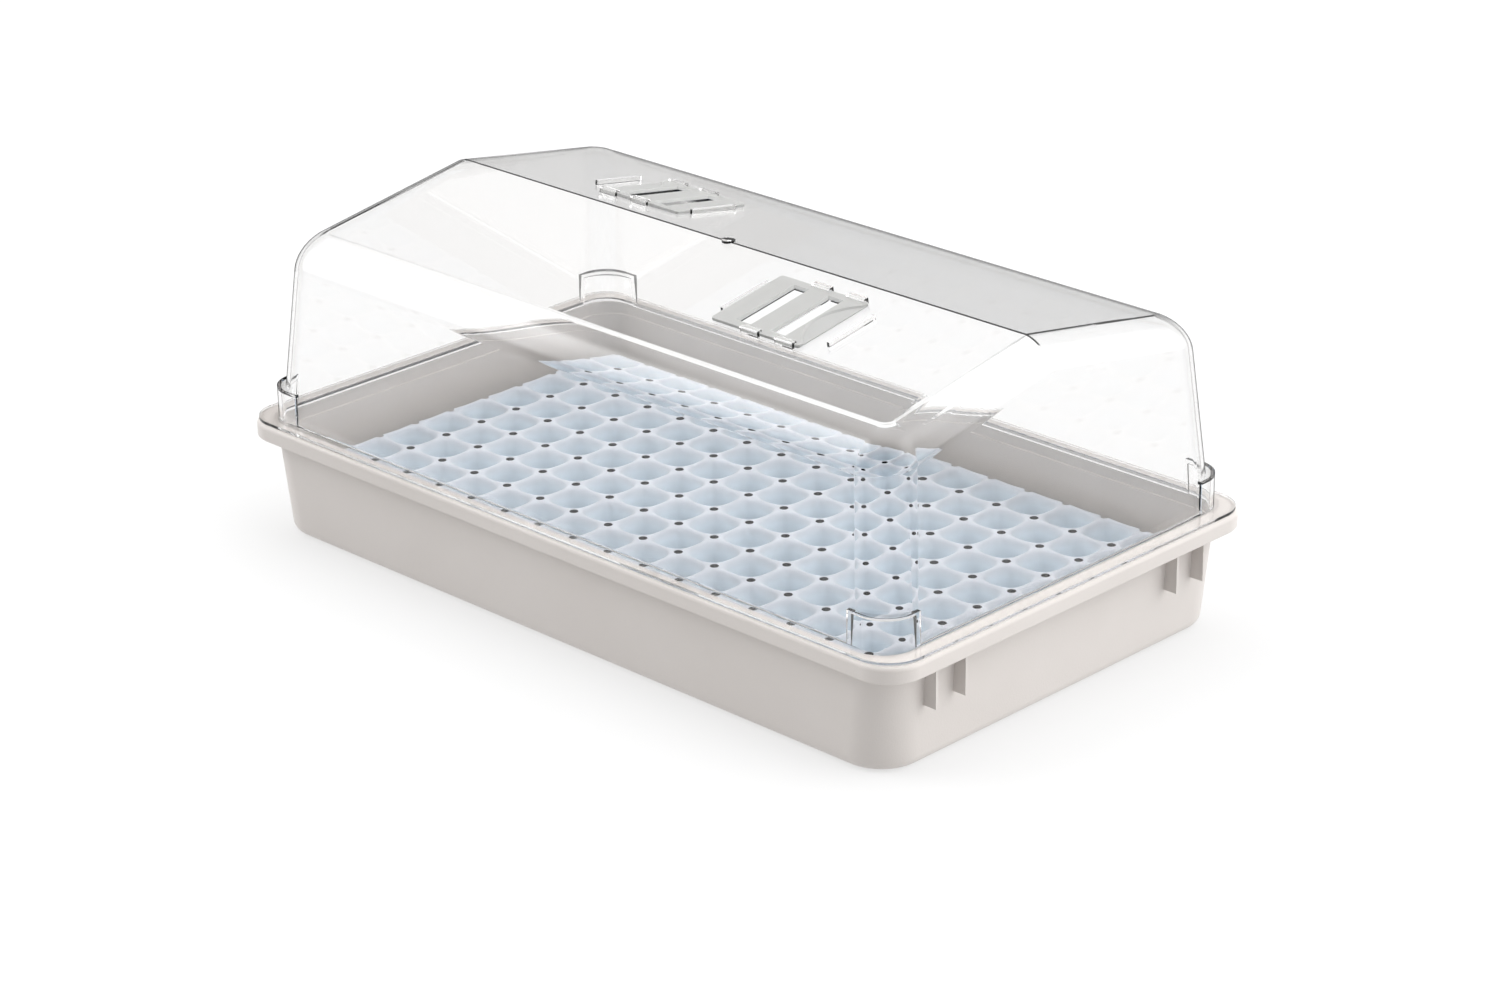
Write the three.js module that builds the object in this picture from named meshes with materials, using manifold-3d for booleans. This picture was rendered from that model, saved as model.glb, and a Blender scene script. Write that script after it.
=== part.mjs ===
// Humidity dome tray for raising seedlings: a deep base tray, a cell insert standing in it, a clear
// dome resting on the tray's rim, and two vent sliders that run on the dome's sloping roof.
//
// Millimetres, +Z up. The origin is the middle of the tray's underside, +X runs along the long side
// and the front vent is on the -Y slope.
import * as THREE from "three";
import { mergeVertices } from "three/addons/utils/BufferGeometryUtils.js";
import Module from "manifold-3d";

const wasm = await Module();
wasm.setup();

// ---------------------------------------------------------------- driving dimensions
const CLEARANCE = 0.3; // gap left between two pieces that rest on or slide over each other
const ARC_STEPS = 6; // straight steps round each plan corner
const FILLET_STEPS = 3; // straight steps round the fillets of the tray's floor
const JOIN = 1; // how far a rib, post or stop runs into what it stands on
const FAR = 400; // beyond every piece

const tray = {
  halfLength: 300, // rim, outside
  halfWidth: 171.5,
  corner: 25,
  height: 80,
  skirt: 11.5, // how far the rolled rim hangs down
  rimThickness: 2.4,
  rimRound: 3.5, // rounding of the rim's upper edge
  overhangX: 12.5, // rim edge to wall, short ends
  overhangY: 7.5, // rim edge to wall, long sides
  draft: 3.5, // how much narrower each side is at the bottom
  wall: 2.5,
  floor: 3,
  baseFillet: 8,
  baseCorner: 30,
  recessDepth: 10, // shallow step round the inside of the mouth
  recessStep: 1,
  mouthChamfer: 1.5,
};

const gusset = {
  places: [100.5, 127], // along the short ends, either side of the middle
  thickness: 2,
  reach: 8.2, // past the wall
  bottom: 40.8,
};

const insert = {
  columns: 16,
  rows: 9,
  pitch: 32.7,
  top: 50.3,
  mouth: 29.4, // cell opening at the top
  cellFloor: 18, // cell opening at the bottom
  skin: 1.5,
  web: 2, // thickness of the ridges' flat top
  drain: 4.6, // hole at each crossing of the ridges
};

const dome = {
  thickness: 2.5,
  flangeInset: 1.7, // flange edge to rim edge
  flange: 2,
  halfLength: 286.5, // wall outside, at the flange
  halfWidth: 160,
  corner: 27,
  lean: 0.09, // inward slope of the walls
  ridge: 233.2,
  pitch: THREE.MathUtils.degToRad(9.5),
  eaveX: 20, // how far in the rounded eave reaches, ends and sides
  eaveY: 23,
  eaveDrop: 22,
  eaveCorner: 6,
  eaveSteps: 4,
};

// Stacking lugs round the dome's four lower corners.
const lug = { height: 22.3, proud: 0.8, corner: 22, fromX: 253.7, fromY: 132.3 };

// Round mark left by the moulding gate, in the middle of the ridge.
const gateMark = { radius: 4.5, height: 1, sides: 12 };

const vent = {
  x: 112.5, // middle of the vent, from the dome's middle
  y: 53,
  slotWidth: 10,
  slotLength: 50,
  slotPitch: 29.5,
  plateWidth: 75, // along X
  plateLength: 65, // down the slope
  plate: 2,
  plateCorner: 2,
  stopHalfGap: 44.5, // middle of the vent to the face of each stop
  stopLength: 42,
  stopHeight: 3.2,
  stopThickness: 2,
  endPlay: 0.4, // gap left between the plate and the stop that it rests against
  clipPlaces: [-9, 20.5],
  clipLength: 15,
  clipLip: 2.2, // how far the lip reaches over the plate
  clipPost: 2,
  clipLipThickness: 1.3,
  clipRoom: 0.5, // free height between the plate and the lip
};
const ventPlay = vent.stopHalfGap - vent.plateWidth / 2 - vent.endPlay; // of the plate, either way

// Half-moon thumb recess at the plate's outer edge.
const grip = { halfLength: 29, bulge: 16, depth: 1.1, steps: 10 };

// ---------------------------------------------------------------- helpers
// A closed mesh as a manifold solid, with shared vertices merged and collapsed triangles dropped.
function solid(geometry) {
  const bare = new THREE.BufferGeometry();
  bare.setAttribute("position", geometry.getAttribute("position"));
  if (geometry.index) bare.setIndex(geometry.index);
  const merged = mergeVertices(bare, 1e-4);
  const index = merged.index.array;
  const kept = [];
  for (let i = 0; i < index.length; i += 3) {
    const [a, b, c] = [index[i], index[i + 1], index[i + 2]];
    if (a !== b && b !== c && c !== a) kept.push(a, b, c);
  }
  return new wasm.Manifold(
    new wasm.Mesh({
      numProp: 3,
      vertProperties: new Float32Array(merged.getAttribute("position").array),
      triVerts: new Uint32Array(kept),
    }),
  );
}

function union(parts) {
  return parts.reduce((sum, part) => sum.add(part));
}

function namedMesh(name, body, colour, roughness, extra = {}) {
  const made = body.getMesh();
  const indexed = new THREE.BufferGeometry();
  indexed.setAttribute("position", new THREE.BufferAttribute(made.vertProperties, 3));
  indexed.setIndex(new THREE.BufferAttribute(made.triVerts, 1));
  const geometry = indexed.toNonIndexed();
  geometry.computeVertexNormals();
  const material = new THREE.MeshStandardMaterial({ color: colour, roughness, metalness: 0, ...extra });
  const mesh = new THREE.Mesh(geometry, material);
  mesh.name = name;
  return mesh;
}

function box(x0, x1, y0, y1, z0, z1) {
  const geometry = new THREE.BoxGeometry(x1 - x0, y1 - y0, z1 - z0);
  return geometry.translate((x0 + x1) / 2, (y0 + y1) / 2, (z0 + z1) / 2);
}

// Rounded rectangle seen from above, anticlockwise, with the quadrant that each point is in. Each
// short side has a point at its middle, which lets a ring rise to a ridge there.
function outline(halfX, halfY, corner) {
  const points = [];
  [[1, 1], [-1, 1], [-1, -1], [1, -1]].forEach(([sx, sy], quarter) => {
    if (quarter % 2 === 0) points.push({ x: sx * halfX, y: 0, sx, sy: 0 });
    for (let step = 0; step <= ARC_STEPS; step += 1) {
      const angle = ((quarter + step / ARC_STEPS) * Math.PI) / 2;
      const [nx, ny] = [Math.cos(angle), Math.sin(angle)];
      points.push({
        x: sx * (halfX - corner) + corner * nx,
        y: sy * (halfY - corner) + corner * ny,
        sx,
        sy,
      });
    }
  });
  return points;
}

// One level ring of a tray-like shell.
function levelRing(halfX, halfY, corner, z) {
  return outline(halfX, halfY, corner).map(({ x, y }) => new THREE.Vector3(x, y, z));
}

// Skin through a stack of rings with the same number of points, closed by a cap at each end.
function loft(rings) {
  const count = rings[0].length;
  const index = [];
  for (let level = 0; level < rings.length - 1; level += 1) {
    for (let i = 0; i < count; i += 1) {
      const j = (i + 1) % count;
      const [a, b] = [level * count + i, level * count + j];
      index.push(a, b, b + count, a, b + count, a + count);
    }
  }
  const cap = (ring, first, flip) => {
    const flat = ring.map(({ x, y }) => new THREE.Vector2(x, y));
    if (Math.abs(THREE.ShapeUtils.area(flat)) < 1) return; // a ring that has closed to a line
    THREE.ShapeUtils.triangulateShape(flat, []).forEach(([p, q, r]) => {
      const turned = flip ? [p, r, q] : [p, q, r];
      index.push(...turned.map((k) => k + first));
    });
  };
  cap(rings[0], 0, true);
  cap(rings.at(-1), (rings.length - 1) * count, false);
  const geometry = new THREE.BufferGeometry().setFromPoints(rings.flat());
  geometry.setIndex(index);
  return geometry;
}

// Upright plate whose outline is drawn in X and Z, standing on the given Y.
function uprightPlate(points, y, thickness) {
  const shape = new THREE.Shape(points.map(([x, z]) => new THREE.Vector2(x, z)));
  const geometry = new THREE.ExtrudeGeometry(shape, { depth: thickness, bevelEnabled: false });
  return geometry.rotateX(Math.PI / 2).translate(0, y + thickness / 2, 0);
}

// ---------------------------------------------------------------- base tray
// One continuous skin: up the outside, round the rolled rim, and down the inside.
function trayShell() {
  const t = tray;
  const [wallX, wallY] = [t.halfLength - t.overhangX, t.halfWidth - t.overhangY];
  const [baseX, baseY] = [wallX - t.draft, wallY - t.draft];
  const skirtBottom = t.height - t.skirt;
  const rimUnder = t.height - t.rimThickness;
  const insideCorner = t.baseCorner - t.wall;
  const rings = [];
  for (let step = 0; step <= FILLET_STEPS; step += 1) {
    const angle = (step / FILLET_STEPS) * (Math.PI / 2);
    const inset = t.baseFillet * (1 - Math.sin(angle));
    const z = t.baseFillet * (1 - Math.cos(angle));
    rings.push(levelRing(baseX - inset, baseY - inset, t.baseCorner - inset, z));
  }
  const ring = (inset, z) =>
    rings.push(levelRing(t.halfLength - inset, t.halfWidth - inset, t.corner - inset, z));
  rings.push(levelRing(wallX, wallY, t.corner, rimUnder));
  ring(t.rimThickness, rimUnder);
  ring(t.rimThickness, skirtBottom);
  ring(0, skirtBottom);
  ring(0, t.height - t.rimRound);
  ring(t.rimRound * 0.3, t.height - t.rimRound * 0.3);
  ring(t.rimRound, t.height);
  const inside = (out, z) => {
    const [x, y] = [wallX - t.wall + out, wallY - t.wall + out];
    rings.push(levelRing(x, y, t.corner - t.wall + out, z));
  };
  inside(t.recessStep + t.mouthChamfer, t.height);
  inside(t.recessStep, t.height - t.mouthChamfer);
  inside(t.recessStep, t.height - t.recessDepth);
  inside(0, t.height - t.recessDepth);
  const [floorX, floorY] = [baseX - t.wall, baseY - t.wall];
  const innerFillet = t.baseFillet - t.wall;
  for (let step = 0; step <= FILLET_STEPS; step += 1) {
    const angle = (step / FILLET_STEPS) * (Math.PI / 2);
    const inset = innerFillet * (1 - Math.cos(angle));
    const z = t.floor + innerFillet * (1 - Math.sin(angle));
    rings.push(levelRing(floorX - inset, floorY - inset, insideCorner - inset, z));
  }
  return solid(loft(rings));
}

// Thin upright ribs under the rim at both short ends.
function trayGussets() {
  const wall = tray.halfLength - tray.overhangX;
  const root = wall - JOIN;
  const foot = root - tray.draft / 2;
  const tip = wall + gusset.reach;
  const under = tray.height - tray.rimThickness + JOIN / 2;
  const side = [
    [foot, gusset.bottom],
    [tip, gusset.bottom],
    [tip, under],
    [root, under],
  ];
  const ribs = [];
  for (const end of [1, -1]) {
    const points = side.map(([x, z]) => [end * x, z]);
    for (const place of gusset.places) {
      ribs.push(solid(uprightPlate(points, place, gusset.thickness)));
      ribs.push(solid(uprightPlate(points, -place, gusset.thickness)));
    }
  }
  return union(ribs);
}

// ---------------------------------------------------------------- cell insert
// Four-sided cup, wider at the top.
function cup(halfBottom, halfTop, bottom, top) {
  const signs = [[1, 1], [-1, 1], [-1, -1], [1, -1]];
  const square = (half, z) => signs.map(([sx, sy]) => new THREE.Vector3(sx * half, sy * half, z));
  return loft([square(halfBottom, bottom), square(halfTop, top)]);
}

function cellInsert() {
  const c = insert;
  const bottom = tray.floor + CLEARANCE;
  const half = [(c.columns * c.pitch) / 2, (c.rows * c.pitch) / 2];
  const slope = (c.mouth - c.cellFloor) / 2 / (c.top - bottom - c.skin);
  const cellHalf = (z) => c.cellFloor / 2 + slope * (z - bottom - c.skin);
  const [under, over] = [c.top - JOIN, c.top + JOIN];
  const outside = cup(cellHalf(bottom) + c.skin, cellHalf(under) + c.skin, bottom, under);
  const inside = cup(cellHalf(bottom + c.skin), cellHalf(over), bottom + c.skin, over);
  const drain = new THREE.CylinderGeometry(c.drain / 2, c.drain / 2, 3 * c.web, 4).rotateX(Math.PI / 2);
  const centre = (i, j) => [(i + 0.5) * c.pitch - half[0], (j + 0.5) * c.pitch - half[1]];
  const cups = [];
  const pockets = [];
  for (let i = 0; i < c.columns; i += 1) {
    for (let j = 0; j < c.rows; j += 1) {
      const [x, y] = centre(i, j);
      cups.push(solid(outside.clone().translate(x, y, 0)));
      pockets.push(solid(inside.clone().translate(x, y, 0)));
      if (i < c.columns - 1 && j < c.rows - 1) {
        const hole = drain.clone().translate(x + c.pitch / 2, y + c.pitch / 2, c.top);
        pockets.push(solid(hole));
      }
    }
  }
  const web = solid(box(-half[0], half[0], -half[1], half[1], c.top - c.web, c.top));
  const body = wasm.Manifold.union([web, ...cups]);
  return body.subtract(wasm.Manifold.union(pockets));
}

// ---------------------------------------------------------------- dome
// Height of the two roof slopes over a point.
const roofHeight = (y) => dome.ridge - Math.tan(dome.pitch) * Math.abs(y);

// The dome's outside, or its inside when inset by the wall thickness: leaning walls, rounded eaves,
// two roof slopes meeting in a ridge along X, and an upright gable at each end.
function domeBody(inset, bottom) {
  const d = dome;
  const drop = inset / Math.cos(d.pitch);
  const foot = tray.height + CLEARANCE + d.flange;
  const leanAt = (z) => d.lean * (z - foot);
  const place = (point, z) =>
    new THREE.Vector3(point.x - point.sx * leanAt(z), point.y - point.sy * leanAt(z), z);
  const around = (fraction) =>
    outline(
      d.halfLength - inset - d.eaveX * fraction,
      d.halfWidth - inset - d.eaveY * fraction,
      THREE.MathUtils.lerp(d.corner, d.eaveCorner, fraction) - inset,
    );
  // The lean moves a point inwards, which changes the roof height over it, so this is repeated.
  const underRoof = (point, below) => {
    let placed = place(point, d.ridge);
    for (let pass = 0; pass < 6; pass += 1) {
      placed = place(point, roofHeight(placed.y) - drop - below);
    }
    return placed;
  };
  const rings = [around(0).map((point) => place(point, bottom))];
  for (let step = 0; step <= d.eaveSteps; step += 1) {
    const angle = (step / d.eaveSteps) * (Math.PI / 2);
    const below = d.eaveDrop * (1 - Math.sin(angle));
    rings.push(around(1 - Math.cos(angle)).map((point) => underRoof(point, below)));
  }
  const ridgeEnd = rings.at(-1)[0].x;
  const ontoRidge = ({ x }) =>
    new THREE.Vector3(THREE.MathUtils.clamp(x, -ridgeEnd, ridgeEnd), 0, d.ridge - drop);
  rings.push(rings.at(-1).map(ontoRidge));
  return solid(loft(rings));
}

// Hollow stacking lugs that square off the four lower corners.
function lugBody(inset, bottom) {
  const top = tray.height + CLEARANCE + dome.flange + lug.height - inset;
  const [x, y] = [dome.halfLength + lug.proud - inset, dome.halfWidth + lug.proud - inset];
  const ring = (z) => levelRing(x, y, lug.corner - inset, z);
  const block = solid(loft([ring(bottom), ring(top)]));
  const [fromX, fromY] = [lug.fromX + inset, lug.fromY + inset];
  const corners = [];
  for (const sx of [1, -1]) {
    for (const sy of [1, -1]) {
      const [x0, x1] = [sx * fromX, sx * FAR].sort((a, b) => a - b);
      const [y0, y1] = [sy * fromY, sy * FAR].sort((a, b) => a - b);
      corners.push(solid(box(x0, x1, y0, y1, 0, FAR)));
    }
  }
  return block.intersect(union(corners));
}

// Turns geometry drawn flat at the middle of a vent onto the front slope, or with side 1 onto the
// rear slope, where everything is turned half round.
function ontoRoof(geometry, side) {
  const turned = geometry.rotateX(dome.pitch).translate(vent.x, -vent.y, roofHeight(vent.y));
  return side > 0 ? turned.rotateZ(Math.PI) : turned;
}

// L-shaped clip with its post outside the plate and its lip over the plate's edge.
function clip(x, direction) {
  const edge = vent.plateLength / 2 + CLEARANCE;
  const outer = edge + vent.clipPost;
  const over = CLEARANCE + vent.plate + vent.clipRoom;
  const top = over + vent.clipLipThickness;
  const side = [
    [edge, -JOIN],
    [outer, -JOIN],
    [outer, top],
    [edge - vent.clipLip, top],
    [edge - vent.clipLip, over],
    [edge, over],
  ];
  const profile = new THREE.Shape(side.map(([y, z]) => new THREE.Vector2(y, z)));
  const geometry = new THREE.ExtrudeGeometry(profile, { depth: vent.clipLength, bevelEnabled: false });
  const standing = new THREE.Matrix4().makeBasis(
    new THREE.Vector3(0, 1, 0),
    new THREE.Vector3(0, 0, 1),
    new THREE.Vector3(1, 0, 0),
  );
  geometry.applyMatrix4(standing).translate(-vent.clipLength / 2, 0, 0);
  if (direction < 0) geometry.rotateZ(Math.PI);
  return geometry.translate(x, 0, 0);
}

function ventGuides(side) {
  const pieces = [];
  for (const end of [1, -1]) {
    const inner = end * vent.stopHalfGap;
    const [x0, x1] = [inner, inner + end * vent.stopThickness].sort((a, b) => a - b);
    pieces.push(box(x0, x1, -vent.stopLength / 2, vent.stopLength / 2, -JOIN, vent.stopHeight));
    for (const x of vent.clipPlaces) pieces.push(clip(x, end));
  }
  return union(pieces.map((piece) => solid(ontoRoof(piece, side))));
}

// Vent openings, cut straight down through the roof.
function ventSlots(side) {
  const [halfX, halfY] = [vent.slotWidth / 2, (vent.slotLength / 2) * Math.cos(dome.pitch)];
  const cuts = [-1, 1].map((end) => {
    const x = vent.x - ventPlay + (end * vent.slotPitch) / 2;
    const cut = box(x - halfX, x + halfX, -vent.y - halfY, -vent.y + halfY, dome.ridge - 40, FAR);
    return solid(side > 0 ? cut.rotateZ(Math.PI) : cut);
  });
  return union(cuts);
}

function domeShell() {
  const d = dome;
  const low = tray.height + CLEARANCE;
  const inset = d.flangeInset;
  const edge = (z) =>
    levelRing(tray.halfLength - inset, tray.halfWidth - inset, tray.corner - inset, z);
  const rim = loft([edge(low), edge(low + d.flange)]);
  const gate = new THREE.CylinderGeometry(
    gateMark.radius,
    gateMark.radius,
    2 * gateMark.height,
    gateMark.sides,
  );
  gate.rotateX(Math.PI / 2).translate(0, 0, d.ridge);
  const outside = union([
    domeBody(0, low),
    lugBody(0, low),
    solid(rim),
    solid(gate),
    ventGuides(-1),
    ventGuides(1),
  ]);
  const inside = union([
    domeBody(d.thickness, low - JOIN),
    lugBody(d.thickness, low - JOIN),
    ventSlots(-1),
    ventSlots(1),
  ]);
  return outside.subtract(inside);
}

// ---------------------------------------------------------------- vent sliders
// Slotted plate with a half-moon thumb recess, shown open, hard against its inner stop.
function ventSlider(side) {
  const [halfX, halfY] = [vent.plateWidth / 2, vent.plateLength / 2];
  const rectangle = outline(halfX, halfY, vent.plateCorner).map(({ x, y }) => new THREE.Vector2(x, y));
  const plate = new THREE.ExtrudeGeometry(new THREE.Shape(rectangle), {
    depth: vent.plate,
    bevelEnabled: false,
  });
  const halfMoon = [new THREE.Vector2(halfX + JOIN, -grip.halfLength)];
  halfMoon.push(new THREE.Vector2(halfX + JOIN, grip.halfLength));
  for (let step = 0; step <= grip.steps; step += 1) {
    const along = 1 - (2 * step) / grip.steps;
    halfMoon.push(new THREE.Vector2(halfX - grip.bulge * (1 - along ** 2), along * grip.halfLength));
  }
  const recess = new THREE.ExtrudeGeometry(new THREE.Shape(halfMoon), {
    depth: grip.depth + JOIN,
    bevelEnabled: false,
  });
  recess.translate(0, 0, vent.plate - grip.depth);
  const [flat, half] = [plate, recess].map((geometry) =>
    solid(ontoRoof(geometry.translate(-ventPlay, 0, CLEARANCE), side)),
  );
  return flat.subtract(half).subtract(ventSlots(side));
}

// ---------------------------------------------------------------- assembly
const clear = { transparent: true, opacity: 0.25 };
const object = new THREE.Group();
const trayGroup = new THREE.Group();
const domeGroup = new THREE.Group();

trayGroup.add(namedMesh("base_tray", trayShell().add(trayGussets()), 0xdedad6, 0.45));
trayGroup.add(namedMesh("cell_insert", cellInsert(), 0xc3cfda, 0.5));
domeGroup.add(namedMesh("dome", domeShell(), 0xf2f4f4, 0.08, clear));
domeGroup.add(namedMesh("front_vent_slider", ventSlider(-1), 0xc9c8c4, 0.12, clear));
domeGroup.add(namedMesh("rear_vent_slider", ventSlider(1), 0xc9c8c4, 0.12, clear));
object.add(trayGroup, domeGroup);

export default object;
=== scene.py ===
# Humidity dome tray: an off-white base tray, a pale blue cell insert, a clear ridged dome and two
# smoky vent sliders. The CAD frame says where everything goes; lengths here are in millimetres and
# become metres when a mesh is made.
import math

import bmesh
import bpy
from mathutils import Matrix, Vector


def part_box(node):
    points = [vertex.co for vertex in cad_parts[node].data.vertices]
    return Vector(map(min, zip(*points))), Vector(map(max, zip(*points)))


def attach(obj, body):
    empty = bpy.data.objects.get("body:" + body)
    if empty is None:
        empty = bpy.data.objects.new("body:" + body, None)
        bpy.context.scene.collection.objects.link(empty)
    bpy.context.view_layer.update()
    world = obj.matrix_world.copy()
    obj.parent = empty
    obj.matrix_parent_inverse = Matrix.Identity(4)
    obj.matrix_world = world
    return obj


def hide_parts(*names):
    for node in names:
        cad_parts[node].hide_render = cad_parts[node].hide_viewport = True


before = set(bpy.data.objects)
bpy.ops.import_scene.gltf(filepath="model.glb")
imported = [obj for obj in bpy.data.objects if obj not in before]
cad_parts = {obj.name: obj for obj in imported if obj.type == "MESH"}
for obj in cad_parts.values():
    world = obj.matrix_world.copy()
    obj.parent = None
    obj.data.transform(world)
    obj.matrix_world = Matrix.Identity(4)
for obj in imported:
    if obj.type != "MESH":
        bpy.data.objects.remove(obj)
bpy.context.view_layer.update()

MM = 0.001
JOIN = 1.0  # how far a joined piece runs into its neighbour
FAR = 400.0  # beyond every piece
SAME = 1e-3  # points closer than this are one
CORNER_STEPS = 14  # of the tray's, the flange's and the lugs' corners
QUADRANTS = ((1, 1), (-1, 1), (-1, -1), (1, -1))  # signs of x and y, anticlockwise


def node_box(node):
    """Lowest and highest corners of a CAD node in millimetres."""
    low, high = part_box(node)
    return low / MM, high / MM


# ---------------------------------------------------------------- sizes
TRAY_HIGH = node_box("base_tray")[1]
INSERT_LOW, INSERT_HIGH = node_box("cell_insert")
DOME_LOW, DOME_HIGH = node_box("dome")

TRAY = {
    "corner": 25.0,
    "skirt": 11.5,
    "rim_thickness": 2.4,
    "rim_round": 3.5,
    "overhang_x": 12.5,
    "overhang_y": 7.5,
    "draft": 3.5,
    "wall": 2.5,
    "floor": 3.0,
    "base_fillet": 8.0,
    "base_corner": 30.0,
    "recess_depth": 10.0,
    "recess_step": 1.0,
    "mouth_round": 1.5,
    "rim_root": 1.2,  # fillet where the wall meets the underside of the rim
    "skirt_root": 0.8,  # and where the skirt does
    "skirt_inner_round": 0.7,
    "skirt_outer_round": 1.0,
    "step_root": 0.5,
    "step_round": 0.4,
}
RIB = {"places": (100.5, 127.0), "thickness": 2.0, "reach": 8.2, "bottom": 40.8}
INSERT = {
    "columns": 16,
    "rows": 9,
    "skin": 0.6,
    "hole": 3.0,  # radius
    "hole_steps": 3,  # in a quarter
    "side_steps": 6,
    "sag": 0.5,
    "sag_share": 0.3,  # of the depth of a pocket, over which the sag fades out
    "painted_shade_depth": 9.0,  # of the lower face round a hole, painted near black as shade
    "painted_light_from": 1.0,  # below the top, where the painted fill light that lightens the pockets begins
    "painted_light_full": 7.0,
}
# Rings of a pocket: share of the way down, half width and how square it is.
POCKET = (
    (0.005, 15.4, 3.5),
    (0.03, 14.5, 3.2),
    (0.07, 13.8, 3.0),
    (0.13, 13.2, 2.8),
    (0.21, 12.8, 2.7),
    (0.6, 11.2, 2.5),
    (0.96, 9.3, 2.4),
    (1.0, 7.0, 2.2),
)
DOME = {
    "thickness": 2.5,
    "flange": 2.0,
    "foot_x": 11.8,  # flange edge to wall, short ends
    "foot_y": 9.8,  # and long sides
    "edge_corner": 23.3,
    "corner": 27.0,
    "lean": 0.09,  # of the walls, inwards for each millimetre up
    "gate_height": 1.0,
    "gate_radius": 4.5,
    "pitch": math.radians(9.5),
    "eave_x": 20.0,
    "eave_y": 23.0,
    "eave_drop": 22.0,
    "eave_corner": 6.0,
    "eave_turn": math.radians(78.0),
    "foot_fillet": 1.5,  # where the wall meets the flange
    "corner_steps": 12,
    "eave_steps": 12,
    "flat": 0.9998,  # a face this near a panel's direction, as a cosine, is flat
}
RIDGE = DOME_HIGH.z - DOME["gate_height"]
FOOT_Z = DOME_LOW.z + DOME["flange"]
LUG = {"height": 22.3, "proud": 0.8, "corner": 22.0, "from_x": 253.7, "from_y": 132.3}
VENT = {
    "x": 112.5,
    "y": 53.0,
    "slot_width": 10.0,
    "slot_length": 50.0,
    "slot_pitch": 29.5,
    "slot_step": 3.1,  # roof slot beyond the plate's, all round
    "slots_from": RIDGE - 40.0,  # height that is below the roof and above the tray
    "plate_width": 75.0,
    "plate_length": 65.0,
    "plate": 2.0,
    "plate_corner": 2.0,
    "plate_edge": 0.35,  # width of its rounded edges
    "flare_from": 0.4,  # height in the plate where its slots begin to widen upwards
    "lift": 0.3,  # air under the plate
    "play": 6.6,  # of the plate's middle, either way
    "stop_half_gap": 44.5,  # from the vent's middle to an end stop
    "stop_length": 42.0,
    "stop_height": 3.2,
    "stop_thickness": 2.0,
    "clip_places": (-9.0, 20.5),
    "clip_length": 15.0,
    "clip_lip": 2.2,
    "clip_post": 2.0,
    "clip_lip_thickness": 1.3,
    "clip_room": 0.5,
}
GRIP = {"half_length": 29.0, "bulge": 16.0, "depth": 1.1, "slant": 1.6, "steps": 24}


# ---------------------------------------------------------------- mesh helpers
def rounded_rectangle(half_x, half_y, corner, steps, middles=False):
    """Outline seen from above, anticlockwise, as (x, y, sign of x, sign of y).

    With middles it also has a point in the middle of each short end, whose y sign is 0.
    """
    points = []
    for quarter, (sx, sy) in enumerate(QUADRANTS):
        if middles and quarter % 2 == 0:
            points.append((sx * half_x, 0.0, sx, 0))
        for step in range(steps + 1):
            angle = (quarter + step / steps) * math.pi / 2
            x = sx * (half_x - corner) + corner * math.cos(angle)
            y = sy * (half_y - corner) + corner * math.sin(angle)
            points.append((x, y, sx, sy))
    return points


def level_ring(half_x, half_y, corner, z):
    outline = rounded_rectangle(half_x, half_y, corner, CORNER_STEPS)
    return [Vector((x, y, z)) for x, y, _, _ in outline]


def circle(radius, z, steps):
    turns = [2 * math.pi * step / steps for step in range(steps)]
    return [Vector((radius * math.cos(turn), radius * math.sin(turn), z)) for turn in turns]


def arc(centre, radius, start, end, steps):
    """Points on an arc in a profile plane, angles in degrees."""
    for step in range(steps + 1):
        angle = math.radians(start + (end - start) * step / steps)
        yield centre[0] + radius * math.cos(angle), centre[1] + radius * math.sin(angle)


def bridge(mesh, loops):
    """Faces between loops of vertices that follow one another and have the same number of points."""
    count = len(loops[0])
    for lower, upper in zip(loops, loops[1:]):
        for i in range(count):
            j = (i + 1) % count
            mesh.faces.new((lower[i], lower[j], upper[j], upper[i]))


def loft(rings, top=True):
    """Closed mesh through rings of points. Without a top, the last ring closes on itself."""
    mesh = bmesh.new()
    loops = [[mesh.verts.new(point) for point in ring] for ring in rings]
    bridge(mesh, loops)
    mesh.faces.new(list(reversed(loops[0])))
    if top:
        mesh.faces.new(loops[-1])
    bmesh.ops.remove_doubles(mesh, verts=mesh.verts, dist=SAME)
    bmesh.ops.dissolve_degenerate(mesh, dist=SAME, edges=mesh.edges)
    bmesh.ops.recalc_face_normals(mesh, faces=mesh.faces)
    return mesh


def prism(outline, depth):
    """Outline of (x, y) points raised from z = 0 to the given depth."""
    return loft([[Vector((x, y, z)) for x, y in outline] for z in (0.0, depth)])


def block(x0, x1, y0, y1, z0, z1):
    outline = ((x0, y0), (x1, y0), (x1, y1), (x0, y1))
    mesh = prism(outline, z1 - z0)
    bmesh.ops.translate(mesh, verts=mesh.verts, vec=(0, 0, z0))
    return mesh


def scratch(mesh, name="scratch"):
    """Object made from a bmesh, which is freed."""
    data = bpy.data.meshes.new(name)
    mesh.to_mesh(data)
    mesh.free()
    made = bpy.data.objects.new(name, data)
    bpy.context.scene.collection.objects.link(made)
    return made


def bake_modifiers(target):
    """Replaces an object's mesh with what its modifiers make of it."""
    bpy.context.view_layer.update()
    graph = bpy.context.evaluated_depsgraph_get()
    fresh = bpy.data.meshes.new_from_object(target.evaluated_get(graph), depsgraph=graph)
    target.modifiers.clear()
    target.data = fresh


def combine(base, others, operation):
    """Joins scratch objects to the base one, or cuts it by them, and removes them."""
    for other in others:
        modifier = base.modifiers.new("combine", "BOOLEAN")
        modifier.operation = operation
        modifier.solver = "EXACT"
        modifier.object = other
        bake_modifiers(base)
        bpy.data.objects.remove(other)
    return base


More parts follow.
